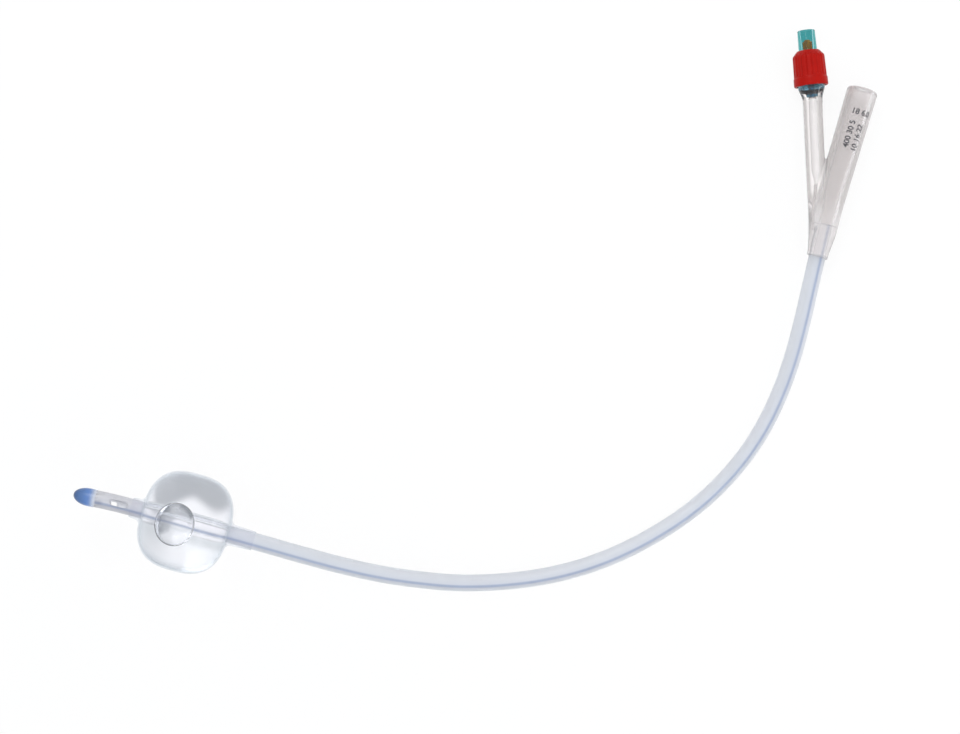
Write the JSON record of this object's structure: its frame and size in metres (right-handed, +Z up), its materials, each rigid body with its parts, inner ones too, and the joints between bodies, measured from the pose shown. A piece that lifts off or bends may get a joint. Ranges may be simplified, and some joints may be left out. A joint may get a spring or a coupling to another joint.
{
  "type": "foley urinary catheter",
  "caption": "Two-way silicone balloon catheter, lying with its balloon filled: drains the bladder through its funnel, and its side arm's valve fills the balloon.",
  "frame": {"origin": "on the table under the middle of the bounding box", "axes": "+Y out of the drainage funnel's mouth along its axis, +Z up from the table that the catheter lies on; the tip and the balloon lie towards -X and -Y"},
  "size_m": [0.233, 0.2482, 0.0345],
  "materials": {
    "clear_silicone": "translucent, soft satin silicone",
    "line_silicone": "pale blue filled silicone seen through the tube's wall",
    "blue_silicone": "translucent deep blue silicone that fades to clear at its rear",
    "balloon_silicone": "thin, clear, glossy silicone",
    "water": "clear water with an air pocket",
    "teal_plastic": "clear teal plastic, glossy",
    "orange_plastic": "orange-brown plastic",
    "dark_rubber": "matt black rubber",
    "spring_steel": "bright drawn steel wire",
    "red_plastic": "strong red plastic, satin"
  },
  "bodies": {
    "catheter": {"tube": "clear_silicone", "xray_line": "line_silicone", "tip": "blue_silicone", "balloon": "balloon_silicone", "balloon_water": "water", "y_moulding": "clear_silicone", "valve_body": "teal_plastic", "valve_spring": "spring_steel", "spring_cup": "teal_plastic", "size_collar": "red_plastic"},
    "plunger": {"valve_plunger": "orange_plastic", "valve_seal": "dark_rubber"}
  },
  "joints": [
    {"name": "valve_plunger_slide", "type": "slide", "parent": "catheter", "child": "plunger", "axis": [0.3746, -0.9272, 0], "range_m": [0, 0.0015], "stiffness_N_per_m": 300, "springref_m": -0.001, "deforming": ["valve_spring"]}
  ]
}
